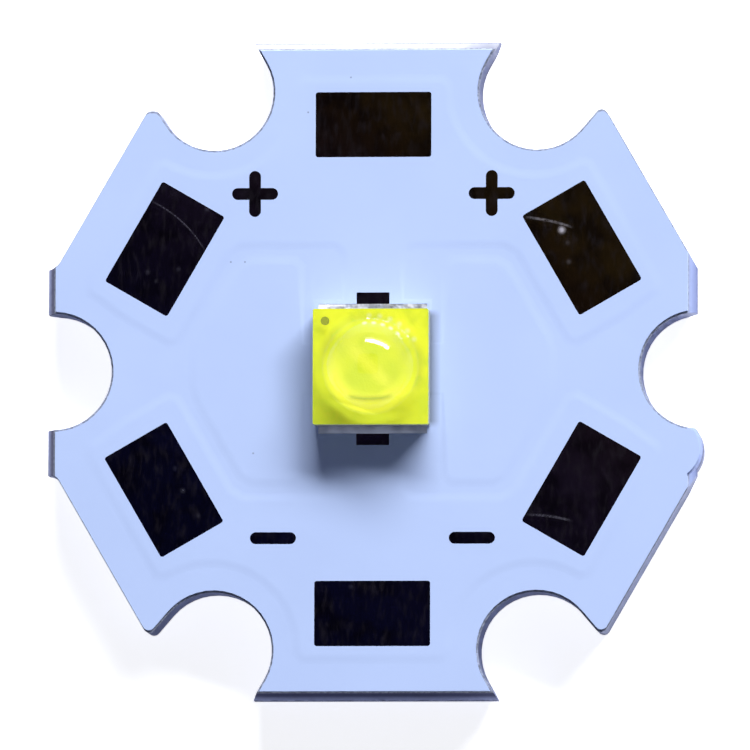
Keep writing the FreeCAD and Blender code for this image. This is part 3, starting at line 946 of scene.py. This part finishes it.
@dataclass(frozen=True)
class ClearSilicone(Finish):
    """Moulded clear silicone: water-clear with a soft wet highlight, and the phosphor shows through it.

    The first wall that light meets dims it a little, and the walls beyond dim it more.
    """

    ripple_mm: float = 0.6
    first_dims: str = "#bfc4b6"
    beyond_dims: str = "#4a4e4c"

    def mix_into(self, recipe: Recipe) -> None:
        """Let shadow rays pass, so that the film below is lit and the dome still shades the board.

        Args:
            recipe: The material under construction.
        """
        recipe.set(
            Base_Color=linear("#fdfffb"),
            Roughness=0.06,
            IOR=1.41,
            Transmission_Weight=1.0,
            Normal=recipe.relief(recipe.grain(self.ripple_mm, detail=1.0), depth_mm=0.002),
        )
        rays = add(recipe.tree, "ShaderNodeLightPath").outputs
        beyond = recipe.calc("GREATER_THAN", rays["Transparent Depth"], 0.5)
        tint = recipe.mix(beyond, self.first_dims, self.beyond_dims)
        recipe.let_through(recipe.calc("MAXIMUM", rays["Is Shadow Ray"], rays["Is Diffuse Ray"]), tint)


@dataclass(frozen=True)
class DotInk(Finish):
    """Printed marking ink: a small olive dot with a slightly uneven rim and no shadow on the film."""

    blot_mm: float = 0.07

    def mix_into(self, recipe: Recipe) -> None:
        """Blot the ink.

        Args:
            recipe: The material under construction.
        """
        blot = recipe.grain(self.blot_mm)
        recipe.set(
            Base_Color=recipe.mix(recipe.spread(blot, *NOISE), "#8c9620", "#a9b32a"),
            Roughness=0.6,
            Normal=recipe.relief(blot, depth_mm=0.002),
        )
        rays = add(recipe.tree, "ShaderNodeLightPath").outputs
        recipe.let_through(rays["Is Shadow Ray"], "#ffffff")


def dress(piece: bpy.types.Object, material: bpy.types.Material) -> None:
    """Put one material on a whole piece.

    Args:
        piece: The object to dress.
        material: Its material.
    """
    for slot in piece.material_slots:
        slot.material = material
    if not piece.material_slots:
        piece.data.materials.append(material)


def finish_piece(shape: bmesh.types.BMesh, name: str, node: str, finish: Finish) -> None:
    """Turn a finished shape into a piece that stands for a node of the frame.

    Args:
        shape: The shape, which is freed.
        name: The piece's name.
        node: The frame's node that it replaces.
        finish: What it is made of.
    """
    bmesh.ops.triangulate(shape, faces=[f for f in shape.faces if len(f.verts) > 4])
    for face in shape.faces:
        face.smooth = True
    for edge in shape.edges:
        if edge.is_manifold:
            edge.smooth = edge.smooth and edge.calc_face_angle(0.0) < SHARP_CREASE
    mesh = bpy.data.meshes.new(name)
    shape.to_mesh(mesh)
    shape.free()
    piece = bpy.data.objects.new(name, mesh)
    bpy.context.scene.collection.objects.link(piece)
    dress(piece, finish.material())
    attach(piece, "root")
    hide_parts(node)
    log.info("%s: done", name)


def node_shape(node: str) -> bmesh.types.BMesh:
    """A copy of a node's mesh with its loose triangles merged and its flat faces whole.

    Args:
        node: The frame's node.

    Returns:
        The copy, to be freed by what uses it.
    """
    shape = bmesh.new()
    shape.from_mesh(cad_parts[node].data)
    bmesh.ops.remove_doubles(shape, verts=shape.verts, dist=SAME)
    bmesh.ops.dissolve_limit(shape, angle_limit=FLAT, verts=shape.verts, edges=shape.edges)
    return shape


MASK_SPECKS_MM = ((-0.63, 8.91), (-1.93, 7.85), (-4.27, 3.3), (-3.84, 3.3), (-3.57, -2.52))


@dataclass
class Laminate:
    """The board: its aluminium core, insulating film, copper and the mask over them.

    The mask's shoulder is the ramp above a copper edge, and its foot the ramp beside it. Its lower level is
    raised by levelled_mm, as wet mask gathers between the pours. Inside the land zone, which reaches that far
    from the centre along X and Y, the ramps keep only land_share of their width.
    """

    shoulder_mm: float = 0.21
    foot_mm: float = 0.08
    levelled_mm: float = 0.027
    rings: int = 4
    land_zone_mm: Pair = (2.3, 2.6)
    land_share: float = 0.3

    def build(self) -> None:
        """Dress the layers and make the mask's soft-shouldered film."""
        low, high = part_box("base_plate")
        half_width_mm = -low.x / MM
        core = RoutedAluminium("base_aluminium", high.y / MM, half_width_mm)
        dress(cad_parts["base_plate"], core.material())
        dress(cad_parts["dielectric_layer"], FilledEpoxy("dielectric_epoxy", half_width_mm).material())
        foil = CopperFoil("copper_foil").material()
        for name in ("copper_positive", "copper_negative", "copper_thermal"):
            dress(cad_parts[name], foil)
        self.build_mask()

    def build_mask(self) -> None:
        """Make the mask again with its steps over the copper's edges flowed into gentle shoulders."""
        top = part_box("solder_mask")[1].z
        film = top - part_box("copper_positive")[1].z
        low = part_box("dielectric_layer")[1].z + film
        skin = node_shape("solder_mask")
        flowed = self.levelled_mm * MM
        for vert in skin.verts:
            if abs(vert.co.z - low) < SAME:
                vert.co.z += flowed
        low += flowed
        body = skin.copy()
        for shape, keeps_levels in ((skin, True), (body, False)):
            shape.normal_update()
            dropped = [f for f in shape.faces if self.is_level_or_step(f, low, top) is not keeps_levels]
            bmesh.ops.delete(shape, geom=dropped, context="FACES")
        self.flow_shoulders(skin, low, top)
        rest = bpy.data.meshes.new("mask_rest")
        body.to_mesh(rest)
        body.free()
        skin.from_mesh(rest)
        bpy.data.meshes.remove(rest)
        bmesh.ops.remove_doubles(skin, verts=skin.verts, dist=SAME)
        low_corner, high_corner = (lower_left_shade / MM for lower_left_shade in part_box("ceramic_substrate"))
        finish = WhiteMask(
            "white_mask",
            MASK_SPECKS_MM,
            package_right_mm=high_corner.x,
            package_middle_mm=(low_corner.y + high_corner.y) / 2,
            package_half_mm=(high_corner.y - low_corner.y) / 2,
        )
        finish_piece(skin, "mask_film", "solder_mask", finish)

    def is_level_or_step(self, face: bmesh.types.BMFace, low: float, top: float) -> bool:
        """Whether a face is one of the mask's two levels or a step between them.

        Args:
            face: A face of the mask.
            low: The height of the mask on bare dielectric.
            top: The height of the mask on copper.

        Returns:
            True for a level or a step.
        """
        heights = [v.co.z for v in face.verts]
        if face.normal.z > LEVEL:
            return abs(heights[0] - low) < SAME or abs(heights[0] - top) < SAME
        return abs(min(heights) - low) < SAME and abs(max(heights) - top) < SAME

    def flow_shoulders(self, skin: bmesh.types.BMesh, low: float, top: float) -> None:
        """Turn the upright steps into smooth ramps: rings of faces are drawn in from each step and lowered.

        Args:
            skin: The mask's two levels and the steps between them.
            low: The height of the lower level.
            top: The height of the upper one.
        """
        steps = [f for f in skin.faces if abs(f.normal.z) < UPRIGHT]
        raised = [f for f in skin.faces if f.normal.z > LEVEL and abs(f.verts[0].co.z - top) < SAME]
        level = [f for f in skin.faces if f.normal.z > LEVEL and abs(f.verts[0].co.z - low) < SAME]
        bands = [steps]
        for _ in range(self.rings):
            bands.append(self.draw_in(skin, raised, self.shoulder_mm * MM / self.rings))
        foot = self.draw_in(skin, level, self.foot_mm * MM)
        self.crease(level, foot)
        self.crease(raised, bands[-1])
        whole = self.foot_mm + self.shoulder_mm
        for ring, (outer, inner) in enumerate(zip(bands, bands[1:] + [raised])):
            share = (self.foot_mm + self.shoulder_mm * ring / self.rings) / whole
            for vert in self.shared(outer, inner):
                vert.co.z = low + (top - low) * ease(share)
        start = low + (top - low) * ease(self.foot_mm / whole)
        for vert in {v for f in steps for v in f.verts}:
            vert.co.z = start
        bmesh.ops.delete(skin, geom=steps, context="FACES")
        bmesh.ops.remove_doubles(skin, verts=skin.verts, dist=SAME)

    def draw_in(
        self, skin: bmesh.types.BMesh, faces: list[bmesh.types.BMFace], width: float
    ) -> list[bmesh.types.BMFace]:
        """Draw a region in from the steps beside it, and from them alone.

        Args:
            skin: The mesh.
            faces: The region, which shrinks.
            width: How far it is drawn in.

        Returns:
            The ring of new faces round it.
        """
        ring = bmesh.ops.inset_region(
            skin, faces=faces, use_boundary=False, use_even_offset=True, thickness=width
        )["faces"]
        inner = self.shared(faces, ring)
        for vert in inner:
            self.hold_back(vert, inner)
        return ring

    def shared(
        self, one: list[bmesh.types.BMFace], other: list[bmesh.types.BMFace]
    ) -> set[bmesh.types.BMVert]:
        """The corners that two groups of faces have in common."""
        return {v for f in one for v in f.verts} & {v for f in other for v in f.verts}

    def crease(self, flat: list[bmesh.types.BMFace], ring: list[bmesh.types.BMFace]) -> None:
        """Keep a flat region's shading apart from the ring beside it, so that it stays even.

        Args:
            flat: The region.
            ring: The faces round it.
        """
        line = self.shared(flat, ring)
        for edge in {e for f in ring for e in f.edges}:
            if all(v in line for v in edge.verts):
                edge.smooth = False

    def hold_back(self, vert: bmesh.types.BMVert, inner: set[bmesh.types.BMVert]) -> None:
        """Keep a ring narrow round the LED's lands, where the mask's rims lie close to the steps.

        Args:
            vert: A corner of the ring's inner edge.
            inner: All corners of that edge.
        """
        reach_x, reach_y = self.land_zone_mm
        if abs(vert.co.x) > reach_x * MM or abs(vert.co.y) > reach_y * MM:
            return
        before = [e.other_vert(vert) for e in vert.link_edges if e.other_vert(vert) not in inner]
        nearest = min(before, key=lambda v: (v.co - vert.co).length, default=vert)
        vert.co = nearest.co.lerp(vert.co, self.land_share)


@dataclass
class BareMetal:
    """Everything tinned: wire pads, polarity marks and the bare ends of the lands."""

    starts: tuple[str, ...] = ("wire_pad", "plus_mark", "minus_mark", "test_pad")

    def build(self) -> None:
        """Dress every tinned piece."""
        tin = LevelledTin("tin_finish", PAD_HIGHLIGHT_STREAKS, PAD_SPOTS).material()
        for name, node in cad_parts.items():
            if name.startswith(self.starts):
                dress(node, tin)
                log.info("%s: done", name)


@dataclass
class Led:
    """The soldered LED package with its clear moulded lens.

    The lens is bedded a little into the phosphor film, so that no air shows between them. The sheet that it
    is cut from reaches past the package's corners.
    """

    dome_width_mm: float = 2.85
    dome_height_mm: float = 1.2
    foot_fillet_mm: float = 0.08
    side_mm: float = 3.5
    corner_mm: float = 0.05
    corner_steps: int = 4
    turns: int = 128
    arc_steps: int = 40
    fillet_steps: int = 8
    sheet_reach: float = 1.5
    bed_mm: float = 0.005
    film_cells: int = 80
    slope_mm: float = 0.8

    def build(self) -> None:
        """Dress the package's hard pieces, and make its phosphor film and its lens."""
        # Silver plating is pale and hazy, and gold warm. Gallium nitride is pale and greenish, and silicon
        # dark grey with a dull metallic glint. The solder below the package lies in its shade, which is
        # painted into its darker colours.
        plating = FineMetal("package_plating", "#c9c6bf", "#e2e0da", smoothest=0.25, roughest=0.4)
        gold = FineMetal("trace_gold", "#d9b26a", "#e7c885", smoothest=0.22, roughest=0.36)
        nitride = SawnCrystal("nitride_die", "#b9c3a4", "#d3dac0", metallic=0.0, roughness=0.3, ior=2.38)
        silicon = SawnCrystal("silicon_diode", "#3f4148", "#5b5e67", metallic=0.6, roughness=0.35, ior=1.5)
        # The same solder with darker colours: painted shade.
        shaded_solder = SolderAlloy("solder_alloy", "#788099", "#98a0ba", lump_depth_mm=0.006)
        finishes = (
            (SolderAlloy("solder_alloy", "#b4b9c8", "#fafbff", lump_depth_mm=0.06), ("solder_anode",)),
            (shaded_solder, ("solder_cathode", "solder_thermal")),
            (plating, ("led_anode_pad", "led_cathode_pad", "led_thermal_pad")),
            (FiredAlumina("alumina_ceramic"), ("ceramic_substrate",)),
            (gold, ("anode_trace", "cathode_trace")),
            (nitride, ("led_die",)),
            (silicon, ("protection_diode",)),
            (DotInk("dot_ink"), ("polarity_dot",)),
        )
        for finish, names in finishes:
            material = finish.material()
            for name in names:
                dress(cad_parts[name], material)
                log.info("%s: done", name)
        low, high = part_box("phosphor_layer")
        centre = (low + high) / 2
        self.build_phosphor(centre)
        self.build_lens(centre)

    def build_phosphor(self, centre: Vector) -> None:
        """Make the film again as sprayed: it swells gently over the die and its diode.

        Args:
            centre: The package's middle.
        """
        low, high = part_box("phosphor_layer")
        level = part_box("silicone_lens")[0].z
        half = self.side_mm * MM / 2
        shape = bmesh.new()
        bmesh.ops.create_grid(shape, x_segments=self.film_cells, y_segments=self.film_cells, size=half)
        bmesh.ops.translate(shape, vec=(centre.x, centre.y, level), verts=shape.verts)
        rise = high.z - level
        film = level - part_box("anode_trace")[1].z
        for name in ("led_die", "protection_diode"):
            chip_low, chip_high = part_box(name)
            swell = min(rise, chip_high.z + film - level)
            for vert in shape.verts:
                past_x = max(chip_low.x - vert.co.x, vert.co.x - chip_high.x, 0)
                past_y = max(chip_low.y - vert.co.y, vert.co.y - chip_high.y, 0)
                share = max(0.0, 1 - math.hypot(past_x, past_y) / (self.slope_mm * MM))
                vert.co.z = max(vert.co.z, level + swell * ease(share))
        self.close_down(shape, centre, low.z)
        finish = PhosphorFilm("yellow_phosphor", (centre.x / MM, centre.y / MM), DOME_GLINTS)
        finish_piece(shape, "phosphor_film", "phosphor_layer", finish)

    def build_lens(self, centre: Vector) -> None:
        """Spin the dome's profile, cut the spun sheet square and close it down to the phosphor.

        Args:
            centre: The package's middle.
        """
        low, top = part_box("silicone_lens")
        half = self.side_mm * MM / 2
        shape = bmesh.new()
        profile = [shape.verts.new((centre.x + r, centre.y, z)) for r, z in self.profile(top.z)]
        edges = [shape.edges.new(pair) for pair in zip(profile, profile[1:])]
        bmesh.ops.spin(
            shape,
            geom=profile + edges,
            cent=(centre.x, centre.y, 0),
            axis=(0, 0, 1),
            angle=2 * math.pi,
            steps=self.turns,
            use_merge=True,
        )
        bmesh.ops.remove_doubles(shape, verts=shape.verts, dist=SAME)
        for x, y in ((1, 0), (-1, 0), (0, 1), (0, -1)):
            bmesh.ops.bisect_plane(
                shape,
                geom=list(shape.verts) + list(shape.edges) + list(shape.faces),
                dist=SAME / 100,
                plane_co=(centre.x + x * half, centre.y + y * half, 0),
                plane_no=(x, y, 0),
                clear_outer=True,
            )
        self.close_down(shape, centre, low.z - self.bed_mm * MM)
        finish_piece(shape, "clear_lens", "silicone_lens", ClearSilicone("clear_silicone"))

    def profile(self, top: float) -> list[Pair]:
        """Half of the lens's outline: the dome's arc, the fillet at its foot and the flat flange.

        Args:
            top: The height of the dome's top.

        Returns:
            Distances from the axis and heights, from the top outwards.
        """
        radius = self.dome_width_mm * MM / 2
        rise = self.dome_height_mm * MM
        flange_top = top - rise
        ball = (radius**2 + rise**2) / (2 * rise)
        ball_z = top - ball
        fillet = self.foot_fillet_mm * MM
        foot_z = flange_top + fillet
        foot_r = math.sqrt((ball + fillet) ** 2 - (foot_z - ball_z) ** 2)
        lean = math.atan2(foot_z - ball_z, foot_r)
        places = []
        for step in range(self.arc_steps + 1):
            angle = math.pi / 2 + (lean - math.pi / 2) * step / self.arc_steps
            places.append((ball * math.cos(angle), ball_z + ball * math.sin(angle)))
        for step in range(1, self.fillet_steps + 1):
            angle = math.pi + lean + (math.pi / 2 - lean) * step / self.fillet_steps
            places.append((foot_r + fillet * math.cos(angle), foot_z + fillet * math.sin(angle)))
        places.append((self.side_mm * MM / 2 * self.sheet_reach, flange_top))
        return places

    def close_down(self, shape: bmesh.types.BMesh, centre: Vector, bottom: float) -> None:
        """Close an open sheet into a solid: upright walls, a flat bottom and slightly round corners.

        Args:
            shape: The sheet, whose rim is level and as square as the package.
            centre: The package's middle.
            bottom: The height of the solid's bottom.
        """
        half = self.side_mm * MM / 2
        rim = [e for e in shape.edges if e.is_boundary]
        skirt = bmesh.ops.extrude_edge_only(shape, edges=rim)["geom"]
        foot = [v for v in skirt if isinstance(v, bmesh.types.BMVert)]
        down = bottom - foot[0].co.z
        bmesh.ops.translate(shape, vec=(0, 0, down), verts=foot)
        bmesh.ops.holes_fill(shape, edges=[e for e in shape.edges if e.is_boundary], sides=0)
        upright = [
            e
            for e in shape.edges
            if abs(e.verts[0].co.z - e.verts[1].co.z) > abs(down) / 2
            and abs(abs(e.verts[0].co.x - centre.x) - half) < SAME
            and abs(abs(e.verts[0].co.y - centre.y) - half) < SAME
        ]
        bmesh.ops.bevel(
            shape,
            geom=upright,
            offset=self.corner_mm * MM,
            offset_type="OFFSET",
            affect="EDGES",
            segments=self.corner_steps,
            profile=0.5,
            material=-1,
        )
        bmesh.ops.recalc_face_normals(shape, faces=shape.faces)


class Seen(Enum):
    """Which rays meet a lamp."""

    BY_ALL = "by all"
    BY_GLOSS = "by gloss only"


@dataclass(frozen=True)
class SoftBox:
    """A large flat lamp that looks at the object from one direction."""

    name: str
    azimuth_deg: float
    elevation_deg: float
    width_deg: float
    height_deg: float
    radiance: float
    seen: Seen = Seen.BY_ALL
    distance: float = 0.6

    def build(self) -> None:
        """Hang the lamp; its azimuth runs from +Y towards +X."""
        azimuth = math.radians(self.azimuth_deg)
        elevation = math.radians(self.elevation_deg)
        level = math.cos(elevation)
        towards = Vector((math.sin(azimuth) * level, math.cos(azimuth) * level, math.sin(elevation)))
        width = 2 * self.distance * math.tan(math.radians(self.width_deg / 2))
        height = 2 * self.distance * math.tan(math.radians(self.height_deg / 2))
        light = bpy.data.lights.new(self.name, "AREA")
        light.shape = "RECTANGLE"
        light.size = width
        light.size_y = height
        light.energy = self.radiance * math.pi * width * height
        lamp = bpy.data.objects.new(self.name, light)
        bpy.context.scene.collection.objects.link(lamp)
        lamp.location = towards * self.distance
        lamp.rotation_euler = towards.to_track_quat("Z", "Y").to_euler()
        lamp.visible_camera = False
        lamp.visible_diffuse = self.seen is not Seen.BY_GLOSS
        log.info("%s: hung at %.0f, %.0f degrees", self.name, self.azimuth_deg, self.elevation_deg)


# The window lights everything, and the halo widens its mirror image on the dome and the metal.
LAMPS = (
    SoftBox("window", azimuth_deg=18, elevation_deg=29, width_deg=50, height_deg=10, radiance=41.4),
    SoftBox(
        "halo",
        azimuth_deg=18,
        elevation_deg=27,
        width_deg=54,
        height_deg=17,
        radiance=5.0,
        seen=Seen.BY_GLOSS,
    ),
)


@dataclass
class Studio:
    """Pale floor, white surroundings, soft lamps, a dark card above and the camera.

    The anchor is one place of the board, in the photograph's pixels and in millimetres.
    """

    image_px: float = 750.0
    px_per_mm: float = 33.0
    anchor_px: Pair = (372.8, 368.7)
    anchor_mm: Pair = (0.06, 0.04)
    seen_from: Triple = (0.0778, -0.0778, 1.0)
    roll_deg: float = 0.18
    camera_distance: float = 0.5
    sensor_mm: float = 36.0
    nearest: float = 0.01
    farthest: float = 10.0
    ambient: float = 0.125
    ambient_colour: str = "#d5dcff"
    floor_width: float = 3.0
    floor_gap: float = 0.00005
    floor_glow: float = 0.8
    paper_mm: float = 0.5
    card_height: float = 0.3
    card_angle_deg: float = 24.0
    card_glow: float = 0.06
    cloth_mm: float = 60.0

    def build(self) -> None:
        """Set the whole scene round the part."""
        self.build_world()
        self.build_floor()
        self.build_card()
        for lamp in LAMPS:
            lamp.build()
        self.build_camera()

    def build_world(self) -> None:
        """White where the camera, metal or glass looks, and a plain ambient level elsewhere."""
        world = bpy.data.worlds.new("surroundings")
        world.use_nodes = True
        tree = world.node_tree
        rays = add(tree, "ShaderNodeLightPath").outputs
        seen = rays["Is Camera Ray"]
        for kind in ("Is Glossy Ray", "Is Transmission Ray"):
            seen = add(tree, "ShaderNodeMath", {"operation": "MAXIMUM"}, {0: seen, 1: rays[kind]}).outputs[0]
        ambient = add(tree, "ShaderNodeBackground", None, {0: linear(self.ambient_colour), 1: self.ambient})
        white = add(tree, "ShaderNodeBackground", None, {0: linear("#ffffff"), 1: 1.0})
        inputs = {0: seen, 1: ambient.outputs[0], 2: white.outputs[0]}
        both = add(tree, "ShaderNodeMixShader", None, inputs)
        tree.links.new(both.outputs[0], tree.nodes["World Output"].inputs["Surface"])
        bpy.context.scene.world = world

    def build_floor(self) -> None:
        """A white floor just under the part that glows where it is seen, and keeps a faint shadow."""
        floor = self.plane("floor", self.floor_width, -self.floor_gap)
        recipe = Recipe("floor_paper")
        paper = recipe.mix(recipe.spread(recipe.grain(self.paper_mm), *NOISE), "#f4f5f7", "#f8f9fa")
        rays = add(recipe.tree, "ShaderNodeLightPath").outputs
        looked_at = recipe.calc("MAXIMUM", rays["Is Camera Ray"], rays["Is Transmission Ray"])
        recipe.set(
            Base_Color=paper,
            Roughness=0.9,
            Emission_Color=linear("#ffffff"),
            Emission_Strength=recipe.times(looked_at, self.floor_glow),
        )
        dress(floor, recipe.material)

    def build_card(self) -> None:
        """A dark card above, which the level metal mirrors and the camera doesn't see."""
        reach = self.card_height * math.tan(math.radians(self.card_angle_deg))
        card = self.plane("card", 2 * reach, self.card_height)
        tilt = Vector((-self.seen_from[0], -self.seen_from[1], 1.0)) * self.card_height
        card.data.transform(Matrix.Translation((tilt.x, tilt.y, 0)))
        recipe = Recipe("card_black")
        recipe.set(
            Base_Color=recipe.mix(recipe.grain(self.cloth_mm), "#050409", "#15121a"),
            Roughness=1.0,
            Emission_Color=linear("#ffffff"),
            Emission_Strength=self.card_glow,
        )
        dress(card, recipe.material)
        card.visible_camera = False
        card.visible_diffuse = False
        card.visible_transmission = False
        card.visible_shadow = False

    def plane(self, name: str, width: float, height: float) -> bpy.types.Object:
        """A square stage piece.

        Args:
            name: The object's name.
            width: Its side.
            height: How high it lies.

        Returns:
            The object.
        """
        shape = bmesh.new()
        bmesh.ops.create_grid(shape, x_segments=1, y_segments=1, size=width / 2)
        bmesh.ops.translate(shape, vec=(0, 0, height), verts=shape.verts)
        mesh = bpy.data.meshes.new(name)
        shape.to_mesh(mesh)
        shape.free()
        sheet = bpy.data.objects.new(name, mesh)
        bpy.context.scene.collection.objects.link(sheet)
        return sheet

    def build_camera(self) -> None:
        """Put the camera at the photograph's angle, framing and scale."""
        back = Vector(self.seen_from).normalized()
        level = (Vector((1, 0, 0)) - back * back.x).normalized()
        upright = back.cross(level)
        roll = math.radians(self.roll_deg)
        right = level * math.cos(roll) - upright * math.sin(roll)
        up = level * math.sin(roll) + upright * math.cos(roll)
        anchor = Vector((*(v * MM for v in self.anchor_mm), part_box("solder_mask")[1].z))
        middle = self.image_px / 2
        over = (middle - self.anchor_px[0]) / self.px_per_mm * MM
        down = (middle - self.anchor_px[1]) / self.px_per_mm * MM
        target = anchor + right * over - up * down
        data = bpy.data.cameras.new("camera")
        data.sensor_width = self.sensor_mm
        data.lens = self.sensor_mm * self.camera_distance / (self.image_px / self.px_per_mm * MM)
        data.clip_start = self.nearest
        data.clip_end = self.farthest
        camera = bpy.data.objects.new("camera", data)
        bpy.context.scene.collection.objects.link(camera)
        pose = Matrix((right, up, back)).transposed().to_4x4()
        camera.matrix_world = Matrix.Translation(target + back * self.camera_distance) @ pose
        bpy.context.scene.camera = camera


def main() -> None:
    """Build every part of the scene in order."""
    logging.basicConfig(level=logging.INFO, format="%(name)s %(message)s")
    bpy.context.scene.view_settings.view_transform = "Standard"
    for part in (Laminate(), BareMetal(), Led(), Studio()):
        part.build()
        log.info("%s: built", type(part).__name__)


if __name__ == "__main__":
    main()
